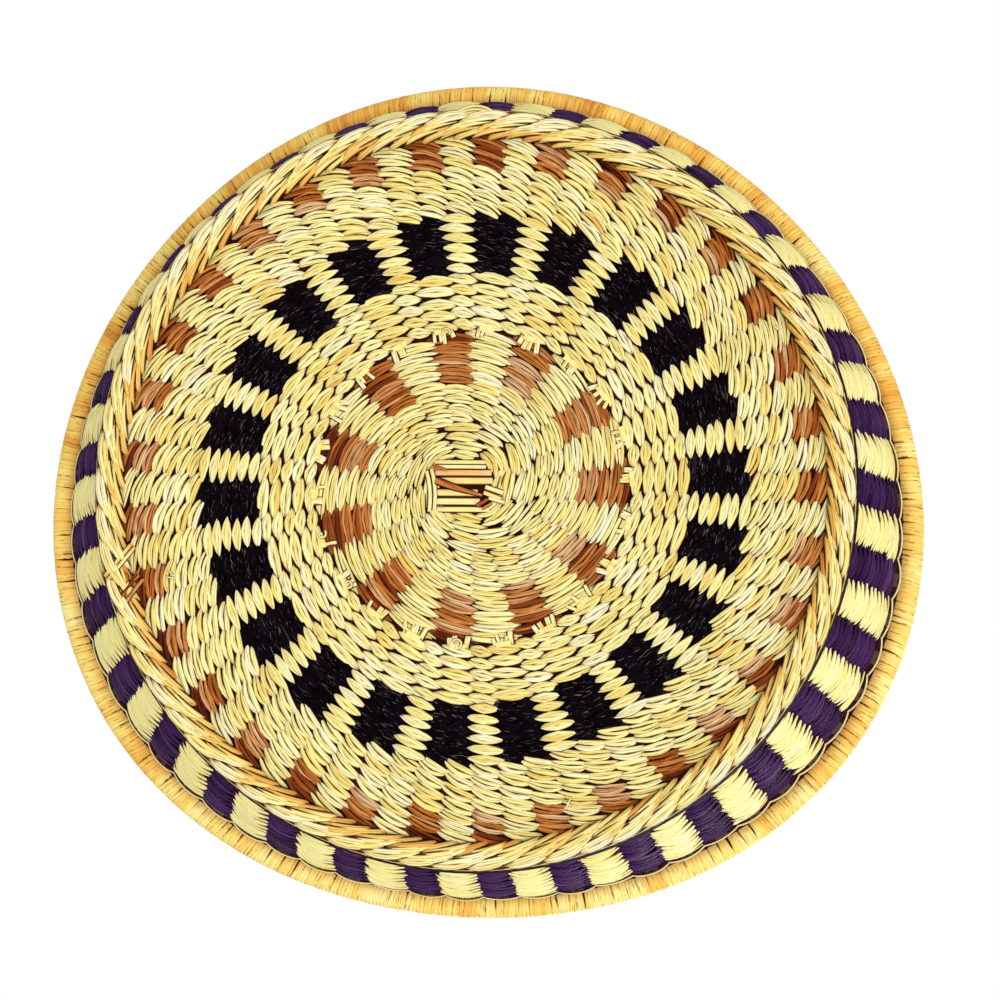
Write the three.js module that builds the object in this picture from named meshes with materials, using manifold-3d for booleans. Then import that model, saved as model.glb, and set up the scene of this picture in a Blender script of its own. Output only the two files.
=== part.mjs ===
// A shallow round basket twined from elephant grass, standing on a plaited foot.
// Millimetres, +Z up, the origin on the floor under the middle of the basket.
import * as THREE from "three";
import { mergeVertices } from "three/addons/utils/BufferGeometryUtils.js";
import Module from "manifold-3d";

const wasm = await Module();
wasm.setup();

// Driving dimensions
const skin = 5; // thickness of the woven skin, base and wall alike
const footHeight = 6; // the plaited foot lifts the base this far off the floor
const footWidth = 11;
const footFlat = 5; // width of the flat that the foot stands on
const heelBend = 7; // radius of the bend from base to wall, at mid thickness
const heelTurn = 56; // degrees that the skin has turned up after the heel
const wallBend = 118; // radius of the wall's slow curve
const wallTurn = 80; // degrees from level at the top of the wall
const rimTurn = 50; // the stakes lean out again from there to the rim
const rimRise = 9.4; // from the wall's top edge to the middle of the rim
const hoopRadius = 3.7; // the bent rod inside the rim
const bindingDepth = 1.2; // the layer of straw wound over the rod
const strandRadius = 0.9; // the thin strand that lies between wall and rim

// Stakes: the flat bundles that run out from the middle and up the wall
const stakeThickness = 1.8;
const stakeWidth = 5; // from the dark pattern outwards
const middleWidth = 4.4; // in the middle band of the base
const barWidth = 2.5; // where they cross at the start
const neckWidth = 2.2; // just outside the cross, where they fan out
const barsAcross = 6;
const barsAlong = 5;
const acrossPitch = 3;
const alongPitch = 3.4;
const stubWidth = 5.4; // the turned-down end of an added pair
const stubReach = 0.8; // how far that end shows below the base

// The rings of weft on the base, from the middle outwards
const centreRadius = 37.8;
const innerPatternRun = 18.7;
const middleRun = 21.5;
const darkRun = 22;
const outerBandRun = 28; // to the foot's inner edge, where the flat base ends

// Where the columns of the weave stand, in degrees, and where they change
const innerAngle = -0.8;
const outerAngle = 5.32;
const fanReach = 4.2; // from the cross to where the through stakes start to spread
const fanRun = 8.4; // and how far they take to reach their columns
const shiftRun = 16; // they turn to the outer columns over this distance
const pairInset = 1.4; // how far outside the inner pattern the added pairs begin
const pairHalf = 1.7; // each leg's offset where the two leave each other
const pairWidth = 3.8; // each leg's width there

// The loose straw that lies slantwise under the bars of the cross
const looseDepth = 0.8;
const looseRoute = [
  { x: 12.6, y: 3.7, width: 3.2 },
  { x: 4, y: 0.6, width: 2.8 },
  { x: -3.7, y: -3.6, width: 1.2 },
];

// The foot's rounded section
const footShoulder = 2.4; // height of its widest place outside
const footWaist = 3; // height of its narrowest place inside
const nestDepth = 5.5; // how far in from the inner edge the heel rests
const nestRise = 0.9; // how far the foot rises to meet the heel there
const lipWidth = 1.4; // the bevel at its inner top edge
const lipRise = 0.6; // the top's height at its outer edge
const lipInset = 1;

// How the hand-made rim is out of true: two lobes, three lobes and a shift
const ovalShare = 0.0233;
const ovalAngle = 3.1;
const lobeShare = 0.0186;
const lobeAngle = -28.4;
const shiftX = 0; // how far the rim sits off the foot's centre
const shiftY = -3;

// Clearances and facets
const fit = 0.35; // between pieces that touch on the real basket
const tidyLimit = 0.004; // points this close to a flat face or straight edge are dropped
const columnsRound = 66;
const ends = 2 * (barsAcross + barsAlong);
const wallSteps = 2;
const heelSteps = 2;
const bindingSteps = 8;
const hoopSides = 6;
const strandSides = 5;

// Colours
const strawColour = 0xf0e08c;
const rustColour = 0x9a5424;
const darkColour = 0x1a0c16;
const purpleColour = 0x5c3a5e;
const rimColour = 0xdcae62;
const hoopColour = 0xa98a50;

// Sizes that follow
const rad = THREE.MathUtils.degToRad;
const baseMiddle = footHeight + skin / 2;
const baseTop = footHeight + skin;
const layerLift = (stakeThickness + fit) / 2;
const crossAcross = ((barsAlong - 1) * alongPitch + barWidth) / 2 + fit;
const crossAlong = ((barsAcross - 1) * acrossPitch + barWidth) / 2 + fit;
const endPitch = 360 / ends;
const columnPitch = 360 / columnsRound;
const innerPatternRadius = centreRadius + innerPatternRun;
const middleRadius = innerPatternRadius + middleRun;
const darkRadius = middleRadius + darkRun;
const footInner = darkRadius + outerBandRun;
const footOuter = footInner + footWidth;
const heelStart = footInner + fit;
const fanStart = crossAcross + fanReach;
const fanEnd = fanStart + fanRun;
const shiftStart = centreRadius + fit;
const shiftEnd = shiftStart + shiftRun;
const pairStart = innerPatternRadius + pairInset;

// The skin's middle line from the edge of the base up to the wall's top edge
function skinLine() {
  const line = [];
  const rise = (from, to, bend, steps, start) => {
    for (let i = 1; i <= steps; i += 1) {
      const a = rad(from + ((to - from) * i) / steps);
      const r = start.r + bend * (Math.sin(a) - Math.sin(rad(from)));
      const z = start.z + bend * (Math.cos(rad(from)) - Math.cos(a));
      line.push({ r, z, a });
    }
  };
  line.push({ r: heelStart, z: baseMiddle, a: 0 });
  rise(0, heelTurn, heelBend, heelSteps, line[0]);
  rise(heelTurn, wallTurn, wallBend, wallSteps, line[line.length - 1]);
  return line;
}

const line = skinLine();
const wallTop = line[line.length - 1];
const lean = rad(rimTurn);

// A point on the straight run that leans out from the wall's top edge to the rim
function aboveWall(distance, aside = 0) {
  const r = wallTop.r + distance * Math.cos(lean) + aside * Math.sin(lean);
  const z = wallTop.z + distance * Math.sin(lean) - aside * Math.cos(lean);
  return { r, z };
}

const rimCentre = aboveWall(rimRise);
const bindingInside = (hoopRadius + fit) / Math.cos(Math.PI / bindingSteps);
const rimRadius = bindingInside + bindingDepth;
const stakeEnd = rimRise - hoopRadius - fit;

// The rim is a little oval, three-lobed and off centre, and the base is round
function outOfRound(geometry) {
  const at = geometry.attributes.position;
  for (let i = 0; i < at.count; i += 1) {
    const x = at.getX(i);
    const y = at.getY(i);
    const share = Math.max(0, (at.getZ(i) - baseTop) / (rimCentre.z - baseTop));
    const angle = Math.atan2(y, x);
    const oval = ovalShare * Math.cos(2 * (angle - rad(ovalAngle)));
    const lobes = lobeShare * Math.cos(3 * (angle - rad(lobeAngle)));
    const grow = 1 + share * (oval + lobes);
    at.setXY(i, x * grow + share * shiftX, y * grow + share * shiftY);
  }
  return geometry;
}

// Solids for joining and cutting
function toSolid(geometry) {
  const plain = geometry.clone();
  plain.deleteAttribute("normal");
  plain.deleteAttribute("uv");
  const merged = mergeVertices(plain, 1e-4);
  const mesh = new wasm.Mesh({
    numProp: 3,
    vertProperties: new Float32Array(merged.attributes.position.array),
    triVerts: new Uint32Array(merged.index.array),
  });
  return new wasm.Manifold(mesh);
}

function toGeometry(solid) {
  const mesh = solid.asOriginal().simplify(tidyLimit).getMesh();
  const geometry = new THREE.BufferGeometry();
  geometry.setAttribute("position", new THREE.BufferAttribute(mesh.vertProperties, 3));
  geometry.setIndex(new THREE.BufferAttribute(mesh.triVerts, 1));
  return geometry;
}

// A ring whose section is a list of { r, z }, given anticlockwise
function ring(section, segments = columnsRound) {
  const points = section.map((p) => new THREE.Vector2(p.r, p.z));
  points.push(points[0].clone());
  const geometry = new THREE.LatheGeometry(points, segments);
  geometry.rotateX(Math.PI / 2);
  geometry.rotateZ(rad(outerAngle));
  return geometry;
}

// A flat strip along stations { at, width }, with its face turned to the skin
function strip(stations, thickness, grow = 0) {
  const points = stations.map((s) => s.at.clone());
  const last = points.length - 1;
  const directions = [];
  for (let i = 0; i < last; i += 1) {
    directions.push(points[i + 1].clone().sub(points[i]).normalize());
  }
  points[0].addScaledVector(directions[0], -grow);
  points[last].addScaledVector(directions[last - 1], grow);
  const outward = new THREE.Vector3(points[last].x, points[last].y, 0).normalize();
  const sides = directions.map((d) => {
    const level = Math.hypot(d.x, d.y);
    return level < 1e-6
      ? new THREE.Vector3(-outward.y, outward.x, 0)
      : new THREE.Vector3(-d.y / level, d.x / level, 0);
  });
  const faces = directions.map((d, i) => d.clone().cross(sides[i]));
  const mitre = (list, i) => {
    const a = list[Math.max(0, i - 1)];
    const b = list[Math.min(last - 1, i)];
    return a.clone().add(b).divideScalar(1 + a.dot(b));
  };
  const corners = [];
  points.forEach((p, i) => {
    const aside = mitre(sides, i).multiplyScalar(stations[i].width / 2 + grow);
    const through = mitre(faces, i).multiplyScalar(thickness / 2 + grow);
    for (const [u, v] of [[-1, -1], [1, -1], [1, 1], [-1, 1]]) {
      const c = p.clone().addScaledVector(aside, u).addScaledVector(through, v);
      corners.push(c.x, c.y, c.z);
    }
  });
  const index = [];
  for (let i = 0; i < last; i += 1) {
    for (let k = 0; k < 4; k += 1) {
      const a = 4 * i + k;
      const b = 4 * i + ((k + 1) % 4);
      index.push(a, b, b + 4, a, b + 4, a + 4);
    }
  }
  index.push(0, 2, 1, 0, 3, 2);
  const e = 4 * last;
  index.push(e, e + 1, e + 2, e, e + 2, e + 3);
  const geometry = new THREE.BufferGeometry();
  geometry.setAttribute("position", new THREE.Float32BufferAttribute(corners, 3));
  geometry.setIndex(index);
  return geometry;
}

function polar(r, degrees, z) {
  return new THREE.Vector3(r * Math.cos(rad(degrees)), r * Math.sin(rad(degrees)), z);
}

// The part of a stake that runs over the outer base, round the heel and up into the rim
function outerRun(degrees) {
  const points = [...line, aboveWall(stakeEnd)];
  return points.map((p) => ({ at: polar(p.r, degrees, p.z), width: stakeWidth }));
}

// One half of a stake that passes right through the start cross
function halfStake(from, degrees, lift) {
  const inner = degrees + innerAngle + endPitch / 2;
  const outer = degrees + outerAngle + endPitch / 2;
  const neck = baseMiddle + lift * 0.6;
  return [
    { at: from.clone().setZ(baseMiddle + lift), width: barWidth },
    { at: polar(fanStart, degrees, neck), width: neckWidth },
    { at: polar(fanEnd, inner, baseMiddle), width: barWidth },
    { at: polar(shiftStart, inner, baseMiddle), width: (barWidth + middleWidth) / 2 },
    { at: polar(shiftEnd, outer, baseMiddle), width: middleWidth },
    ...outerRun(outer),
  ];
}

// A stake's two halves joined end to end in the middle of the cross
function throughStake(number, count, pitch, turn, lift) {
  const place = number - (count - 1) / 2;
  const reach = turn === 0 ? crossAcross : crossAlong;
  const corner = new THREE.Vector3(reach, place * pitch, 0);
  const facing = new THREE.Vector3(reach, -place * pitch, 0);
  const up = new THREE.Vector3(0, 0, 1);
  corner.applyAxisAngle(up, rad(turn));
  facing.applyAxisAngle(up, rad(turn + 180));
  const first = halfStake(corner, turn + place * endPitch, lift);
  const second = halfStake(facing, turn + 180 - place * endPitch, lift);
  return [...second.reverse(), ...first];
}

// One leg of an added pair of stakes, on the side given by -1 or 1
function pairLeg(number, side) {
  const centre = outerAngle + columnPitch * 1.5 + number * endPitch;
  const aside = THREE.MathUtils.radToDeg(pairHalf / pairStart) * side;
  return [
    { at: polar(pairStart, centre + aside, baseMiddle), width: pairWidth },
    { at: polar(middleRadius, centre + (side * columnPitch) / 2, baseMiddle), width: middleWidth },
    ...outerRun(centre + (side * columnPitch) / 2),
  ];
}

// The end of an added pair, turned down so that it shows under the base
function pairStub(number) {
  const centre = outerAngle + columnPitch * 1.5 + number * endPitch;
  return [
    { at: polar(pairStart, centre, footHeight - stubReach), width: stubWidth },
    { at: polar(pairStart, centre, baseMiddle + stakeThickness / 2), width: stubWidth },
  ];
}

// Every stake as { name, parts }, each part a list of stations
function allStakes() {
  const stakes = [];
  for (let i = 0; i < barsAcross; i += 1) {
    const run = throughStake(i, barsAcross, acrossPitch, 0, -layerLift);
    stakes.push({ name: `stake_across_${i + 1}`, parts: [run] });
  }
  for (let i = 0; i < barsAlong; i += 1) {
    const run = throughStake(i, barsAlong, alongPitch, 90, layerLift);
    stakes.push({ name: `stake_along_${i + 1}`, parts: [run] });
  }
  for (let i = 0; i < ends; i += 1) {
    const parts = [pairStub(i), pairLeg(i, -1), pairLeg(i, 1)];
    stakes.push({ name: `added_pair_${String(i + 1).padStart(2, "0")}`, parts });
  }
  return stakes;
}

function joined(parts, grow) {
  const solids = parts.map((run) => toSolid(strip(run, stakeThickness, grow)));
  return solids.reduce((whole, next) => whole.add(next));
}

// A flat ring of the base's weft between two radii
function baseBand(inner, outer) {
  return ring([
    { r: inner, z: footHeight },
    { r: outer, z: footHeight },
    { r: outer, z: baseTop },
    { r: inner, z: baseTop },
  ]);
}

// The disc of weft round the start, with a square hole for the cross
function centreBand() {
  const disc = new THREE.CylinderGeometry(centreRadius, centreRadius, skin, columnsRound);
  disc.rotateX(Math.PI / 2);
  disc.rotateZ(rad(outerAngle));
  disc.translate(0, 0, baseMiddle);
  const hole = new THREE.BoxGeometry(2 * crossAcross + fit, 2 * crossAlong + fit, skin + 2);
  hole.translate(0, 0, baseMiddle);
  return toSolid(disc).subtract(toSolid(hole));
}

// A step of the middle line that starts clear of the one before
function wallStep(number) {
  const from = line[heelSteps + number];
  const to = line[heelSteps + number + 1];
  const run = Math.hypot(to.r - from.r, to.z - from.z);
  const r = from.r + ((to.r - from.r) * fit) / run;
  const z = from.z + ((to.z - from.z) * fit) / run;
  return [{ r, z, a: from.a }, to];
}

// The skin along part of its middle line, half a thickness either side
function skinBand(points) {
  const offset = (p, by) => ({ r: p.r + by * Math.sin(p.a), z: p.z - by * Math.cos(p.a) });
  const outside = points.map((p) => offset(p, skin / 2));
  const inside = points.map((p) => offset(p, -skin / 2));
  return ring([...outside, ...inside.reverse()]);
}

// The plaited foot: rounded, with a flat to stand on and a top that hugs the heel
function footRing() {
  const middle = (footInner + footOuter) / 2;
  const top = footHeight - fit;
  return ring([
    { r: middle - footFlat / 2, z: 0 },
    { r: middle + footFlat / 2, z: 0 },
    { r: footOuter, z: footShoulder },
    { r: footOuter - lipInset, z: top + lipRise },
    { r: footInner + nestDepth, z: top + nestRise },
    { r: footInner + lipWidth, z: top },
    { r: footInner, z: footWaist },
  ]);
}

// The rod inside the rim
function hoop() {
  const geometry = new THREE.TorusGeometry(rimCentre.r, hoopRadius, hoopSides, columnsRound);
  geometry.rotateZ(rad(outerAngle + columnPitch / 2));
  geometry.translate(0, 0, rimCentre.z);
  return geometry;
}

// The straw wound round the rod, open below where the stakes come up
function binding() {
  const halfSlot = Math.asin((stakeThickness / 2 + fit) / bindingInside);
  const from = lean - Math.PI + halfSlot;
  const sweep = 2 * Math.PI - 2 * halfSlot;
  const arc = (radius) => {
    const points = [];
    for (let i = 0; i <= bindingSteps; i += 1) {
      const a = from + (sweep * i) / bindingSteps;
      points.push({ r: rimCentre.r + radius * Math.cos(a), z: rimCentre.z + radius * Math.sin(a) });
    }
    return points;
  };
  return ring([...arc(rimRadius), ...arc(bindingInside).reverse()]);
}

// The thin strand that runs round outside the stakes, between the wall and the rim
function edgeStrand() {
  const aside = stakeThickness / 2 + fit + strandRadius;
  const cornerReach = (skin / 2) * Math.sin(wallTop.a - lean);
  const centre = aboveWall(cornerReach + fit + strandRadius, aside);
  const geometry = new THREE.TorusGeometry(centre.r, strandRadius, strandSides, columnsRound);
  geometry.rotateZ(rad(outerAngle + columnPitch / 2));
  geometry.translate(0, 0, centre.z);
  return geometry;
}

function looseStraw() {
  const z = footHeight - fit - looseDepth / 2;
  const stations = looseRoute.map((p) => ({ at: new THREE.Vector3(p.x, p.y, z), width: p.width }));
  return strip(stations, looseDepth);
}

// The finished basket
const basket = new THREE.Group();

function addPiece(name, geometry, colour, roughness = 0.7) {
  const material = new THREE.MeshStandardMaterial({ color: colour, roughness, metalness: 0 });
  const mesh = new THREE.Mesh(outOfRound(geometry), material);
  mesh.name = name;
  basket.add(mesh);
}

const stakes = allStakes();
for (const stake of stakes) {
  addPiece(stake.name, toGeometry(joined(stake.parts, 0)), strawColour);
}

const stakeRoom = stakes.map((s) => joined(s.parts, fit)).reduce((whole, next) => whole.add(next));

function addWeft(name, solid, colour) {
  addPiece(name, toGeometry(solid.subtract(stakeRoom)), colour);
}

addWeft("centre_weft", centreBand(), strawColour);
const bands = [
  ["inner_pattern_weft", centreRadius, innerPatternRadius, rustColour],
  ["middle_weft", innerPatternRadius, middleRadius, strawColour],
  ["dark_pattern_weft", middleRadius, darkRadius, darkColour],
  ["outer_weft", darkRadius, footInner, strawColour],
];
for (const [name, inner, outer, colour] of bands) {
  addWeft(name, toSolid(baseBand(inner + fit, outer)), colour);
}
addWeft("heel_weft", toSolid(skinBand(line.slice(0, heelSteps + 1))), purpleColour);
addWeft("lower_wall_weft", toSolid(skinBand(wallStep(0))), purpleColour);
addWeft("upper_wall_weft", toSolid(skinBand(wallStep(1))), purpleColour);

addPiece("foot_plait", footRing(), strawColour);
addPiece("rim_hoop", hoop(), hoopColour, 0.8);
addPiece("rim_binding", binding(), rimColour, 0.5);
addPiece("edge_strand", edgeStrand(), strawColour, 0.5);
addPiece("loose_straw", looseStraw(), rustColour);

export default basket;
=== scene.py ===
import math

import bpy
import numpy as np
from mathutils import Matrix, Vector


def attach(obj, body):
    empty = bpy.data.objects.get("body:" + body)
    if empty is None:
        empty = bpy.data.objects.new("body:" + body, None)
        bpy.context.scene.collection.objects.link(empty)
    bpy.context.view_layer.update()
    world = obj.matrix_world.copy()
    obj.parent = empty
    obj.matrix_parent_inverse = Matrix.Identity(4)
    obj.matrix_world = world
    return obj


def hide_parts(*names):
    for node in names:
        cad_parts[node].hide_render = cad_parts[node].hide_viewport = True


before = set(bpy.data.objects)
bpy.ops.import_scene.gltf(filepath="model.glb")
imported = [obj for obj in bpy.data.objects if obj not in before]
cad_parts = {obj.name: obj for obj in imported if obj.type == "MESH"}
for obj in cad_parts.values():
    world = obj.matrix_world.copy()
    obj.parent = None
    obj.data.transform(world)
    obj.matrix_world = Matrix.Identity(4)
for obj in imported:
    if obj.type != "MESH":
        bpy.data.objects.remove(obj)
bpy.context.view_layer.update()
bpy.ops.object.select_all(action="DESELECT")
print("frame loaded")


# Camera, looking up at the underside as the photograph does

view = {
    "distance": 0.925,
    "tilt": 5.89,
    "azimuth": 222.5,
    "lens": 92.5,
    "sensor": 36,
    "shiftX": 0.029,
    "shiftY": -0.014,
}


def addCamera():
    tilt = math.radians(view["tilt"])
    azimuth = math.radians(view["azimuth"])
    away = Vector((
        math.sin(tilt) * math.cos(azimuth),
        math.sin(tilt) * math.sin(azimuth),
        -math.cos(tilt),
    ))
    right = (-away).cross(Vector((0, 1, 0))).normalized()
    upward = right.cross(-away)
    bpy.ops.object.camera_add()
    camera = bpy.context.active_object
    camera.name = "photoCamera"
    turn = Matrix((right, upward, away)).transposed().to_4x4()
    camera.matrix_world = Matrix.Translation(away * view["distance"]) @ turn
    camera.data.lens = view["lens"]
    camera.data.sensor_width = view["sensor"]
    camera.data.shift_x = view["shiftX"]
    camera.data.shift_y = view["shiftY"]
    camera.data.clip_start = 0.01
    bpy.context.scene.camera = camera


addCamera()
bpy.context.scene.view_settings.view_transform = "Standard"


# Node helpers

def newMaterial(name):
    material = bpy.data.materials.new(name)
    material.use_nodes = True
    tree = material.node_tree
    tree.nodes.clear()
    return material, tree


def addNode(tree, kind, values=None, **settings):
    node = tree.nodes.new(kind)
    for name, value in settings.items():
        setattr(node, name, value)
    for socket, value in (values or {}).items():
        if isinstance(value, bpy.types.NodeSocket):
            tree.links.new(value, node.inputs[socket])
        else:
            node.inputs[socket].default_value = value
    return node


def mathNode(tree, operation, first, second=0.0):
    node = addNode(tree, "ShaderNodeMath", {0: first, 1: second}, operation=operation)
    return node.outputs[0]


def spread(tree, value, low, high, toLow=0.0, toHigh=1.0):
    values = {"Value": value, "From Min": low, "From Max": high, "To Min": toLow, "To Max": toHigh}
    node = addNode(tree, "ShaderNodeMapRange", values, interpolation_type="SMOOTHSTEP")
    return node.outputs["Result"]


def colourRamp(tree, value, stops):
    node = addNode(tree, "ShaderNodeValToRGB", {"Fac": value})
    ramp = node.color_ramp
    while len(ramp.elements) < len(stops):
        ramp.elements.new(1.0)
    for element, (place, colour) in zip(ramp.elements, stops):
        element.position = place
        element.color = linearColour(colour)
    return node.outputs["Color"]


def mixColour(tree, share, first, second):
    # 6, 7 and 2 are the node's two colour inputs and its colour output
    node = addNode(tree, "ShaderNodeMix", data_type="RGBA")
    for index, value in ((0, share), (6, first), (7, second)):
        if isinstance(value, bpy.types.NodeSocket):
            tree.links.new(value, node.inputs[index])
        else:
            node.inputs[index].default_value = value
    return node.outputs[2]


def linearColour(colour):
    parts = []
    for part in colour:
        share = part / 255
        parts.append(share / 12.92 if share <= 0.04045 else ((share + 0.055) / 1.055) ** 2.4)
    return (*parts, 1.0)


def addSurface(tree, colour, roughness, relief, strength, depth, shine=0.5):
    # the plain surface that every finish of the basket ends in
    bump = addNode(tree, "ShaderNodeBump", {
        "Strength": strength, "Distance": depth, "Height": relief,
    })
    shader = addNode(tree, "ShaderNodeBsdfPrincipled", {
        "Base Color": colour, "Roughness": roughness, "Normal": bump.outputs["Normal"],
    })
    shader.inputs["Specular IOR Level"].default_value = shine
    addNode(tree, "ShaderNodeOutputMaterial", {"Surface": shader.outputs[0]})


# Stage: a floor that shows from above only, white around, and soft lamps on both sides

stage = {
    "floorRadius": 2.5,
    "floorDrop": 0.0003,
    "floorColour": (244, 243, 241),
    "ambient": 0.71,
    "lampAngle": 24,
    # for each lamp: where it shines from, and its strength
    "lamps": {
        "lampBelow": ((-0.3, -0.2, -1.0), 1.45),
        "lampAside": ((-1.0, -0.6, -0.35), 0.45),
        "lampAbove": ((-0.45, -0.55, 1.0), 1.6),
    },
}


def addStage():
    bpy.ops.mesh.primitive_circle_add(
        vertices=96, radius=stage["floorRadius"], fill_type="NGON",
        location=(0, 0, -stage["floorDrop"]),
    )
    floor = bpy.context.active_object
    floor.name = "floor"
    material, tree = newMaterial("floorPaint")
    paint = addNode(tree, "ShaderNodeBsdfPrincipled", {
        "Base Color": linearColour(stage["floorColour"]),
        "Roughness": 0.9,
    })
    clear = addNode(tree, "ShaderNodeBsdfTransparent")
    rays = addNode(tree, "ShaderNodeLightPath")
    face = addNode(tree, "ShaderNodeNewGeometry")
    front = mathNode(tree, "SUBTRACT", 1.0, face.outputs["Backfacing"])
    shown = mathNode(tree, "MULTIPLY", rays.outputs["Is Camera Ray"], front)
    mixed = addNode(tree, "ShaderNodeMixShader", {0: shown, 1: clear.outputs[0], 2: paint.outputs[0]})
    addNode(tree, "ShaderNodeOutputMaterial", {"Surface": mixed.outputs[0]})
    floor.data.materials.append(material)

    world = bpy.data.worlds.new("studio")
    bpy.context.scene.world = world
    world.use_nodes = True
    tree = world.node_tree
    tree.nodes.clear()
    rays = addNode(tree, "ShaderNodeLightPath")
    seen = mathNode(tree, "MAXIMUM", rays.outputs["Is Camera Ray"], rays.outputs["Is Glossy Ray"])
    seen = mathNode(tree, "MAXIMUM", seen, rays.outputs["Is Transmission Ray"])
    plain = (1, 1, 1, 1)
    soft = addNode(tree, "ShaderNodeBackground", {"Color": plain, "Strength": stage["ambient"]})
    white = addNode(tree, "ShaderNodeBackground", {"Color": plain, "Strength": 1.0})
    mixed = addNode(tree, "ShaderNodeMixShader", {0: seen, 1: soft.outputs[0], 2: white.outputs[0]})
    addNode(tree, "ShaderNodeOutputWorld", {"Surface": mixed.outputs[0]})

    for name, (place, strength) in stage["lamps"].items():
        bpy.ops.object.light_add(type="SUN", location=place)
        lamp = bpy.context.active_object
        lamp.name = name
        lamp.data.energy = strength
        lamp.data.angle = math.radians(stage["lampAngle"])
        lamp.rotation_euler = Vector(place).to_track_quat("Z", "Y").to_euler()


addStage()
print("stage set")


# The skin's middle line, in metres, and the rim's out-of-round, as in the part

skin = {
    "footHeight": 0.006,
    "thickness": 0.005,
    "flatEdge": 0.12835,
    "heelBend": 0.007,
    "heelTurn": 56,
    "wallBend": 0.118,
    "wallTurn": 80,
    "rimTurn": 50,
    "rimRise": 0.0094,
    "ovalShare": 0.0233,
    "ovalAngle": 3.1,
    "lobeShare": 0.0186,
    "lobeAngle": -28.4,
    "leanY": -0.003,
}
baseMiddle = skin["footHeight"] + skin["thickness"] / 2
baseTop = skin["footHeight"] + skin["thickness"]
heelTurn = math.radians(skin["heelTurn"])
wallTurn = math.radians(skin["wallTurn"])
heelEnd = skin["flatEdge"] + skin["heelBend"] * heelTurn
wallEnd = heelEnd + skin["wallBend"] * (wallTurn - heelTurn)


def skinLine(run):
    # radius, height and slope of the middle line after a run along it from the middle
    run = np.asarray(run, float)
    heelAngle = np.clip((run - skin["flatEdge"]) / skin["heelBend"], 0, heelTurn)
    wallAngle = np.clip((run - heelEnd) / skin["wallBend"], 0, wallTurn - heelTurn) + heelTurn
    beyond = np.maximum(run - wallEnd, 0)
    radius = np.minimum(run, skin["flatEdge"]) + skin["heelBend"] * np.sin(heelAngle)
    height = baseMiddle + skin["heelBend"] * (1 - np.cos(heelAngle))
    radius = radius + skin["wallBend"] * (np.sin(wallAngle) - math.sin(heelTurn))
    height = height + skin["wallBend"] * (math.cos(heelTurn) - np.cos(wallAngle))
    radius = radius + beyond * math.cos(wallTurn)
    height = height + beyond * math.sin(wallTurn)
    slope = np.where(run > heelEnd, wallAngle, heelAngle)
    return radius, height, slope


wallTopRadius, wallTopHeight = (float(v) for v in skinLine(wallEnd)[:2])
rimLean = math.radians(skin["rimTurn"])


def aboveWall(distance, aside=0.0):
    # a point on the lean from the wall's top edge out to the rim
    radius = wallTopRadius + distance * math.cos(rimLean) + aside * math.sin(rimLean)
    height = wallTopHeight + distance * math.sin(rimLean) - aside * math.cos(rimLean)
    return radius, height


rimRadiusAt, rimHeight = aboveWall(skin["rimRise"])


def outOfRound(theta, radius, height):
    share = np.maximum(0, (height - baseTop) / (rimHeight - baseTop))
    oval = skin["ovalShare"] * np.cos(2 * (theta - math.radians(skin["ovalAngle"])))
    lobes = skin["lobeShare"] * np.cos(3 * (theta - math.radians(skin["lobeAngle"])))
    grow = 1 + share * (oval + lobes)
    x = radius * np.cos(theta) * grow
    y = radius * np.sin(theta) * grow + share * skin["leanY"]
    return np.stack([x, y, height + 0 * x], axis=-1)


startSquare = {"from": 0.009, "to": 0.024, "strength": 0.8, "shiftX": 0.0026, "shiftY": 0.0006}
topThinning = {"run": 0.004, "share": 0.5}


def skinPlace(theta, run, lift):
    # the rows next to the start are drawn out towards a square, a little to one side
    nearness = np.clip((startSquare["to"] - run) / (startSquare["to"] - startSquare["from"]), 0, 1)
    fullness = (np.cos(theta) ** 4 + np.sin(theta) ** 4) ** -0.25 - 1
    run = run * (1 + startSquare["strength"] * nearness * fullness)
    radius, height, slope = skinLine(run)
    ending = np.clip((run - wallEnd) / topThinning["run"] + 1, 0, 1)
    lift = lift * (1 - topThinning["share"] * ending)
    radius = radius + lift * np.sin(slope)
    height = height - lift * np.cos(slope)
    placed = outOfRound(theta, radius, height)
    placed[..., 0] += nearness * startSquare["shiftX"]
    placed[..., 1] += nearness * startSquare["shiftY"]
    return placed


# Straws, each kind modelled once, six-sided and lying along x: a leaf with pointed ends, a
# fuller pillow, a leaner diamond, a bar with cut ends and a long one that can curl

strawSides = 6
leafShape = {
    "stations": [-0.5, -0.45, -0.36, -0.2, 0.0, 0.2, 0.36, 0.45, 0.5],
    "girths": [0.05, 0.38, 0.7, 0.94, 1.0, 0.94, 0.7, 0.38, 0.05],
}
pillowShape = {
    "stations": [-0.5, -0.46, -0.38, -0.22, 0.0, 0.22, 0.38, 0.46, 0.5],
    "girths": [0.1, 0.6, 0.87, 0.98, 1.0, 0.98, 0.87, 0.6, 0.1],
}
diamondShape = {
    "stations": [-0.5, -0.45, -0.36, -0.2, 0.0, 0.2, 0.36, 0.45, 0.5],
    "girths": [0.05, 0.3, 0.58, 0.88, 1.0, 0.88, 0.58, 0.3, 0.05],
}
barShape = {
    "stations": [-0.5, -0.48, -0.3, -0.1, 0.1, 0.3, 0.48, 0.5],
    "girths": [0.7, 0.94, 1.0, 0.97, 1.0, 0.98, 0.94, 0.7],
}
curlShape = {
    "stations": [-0.5, -0.47, -0.4, -0.3, -0.2, -0.1, 0.0, 0.1, 0.2, 0.3, 0.4, 0.47, 0.5],
    "girths": [0.2, 0.6, 0.85, 1.0, 1.0, 1.0, 1.0, 1.0, 1.0, 0.95, 0.85, 0.6, 0.3],
}


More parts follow.
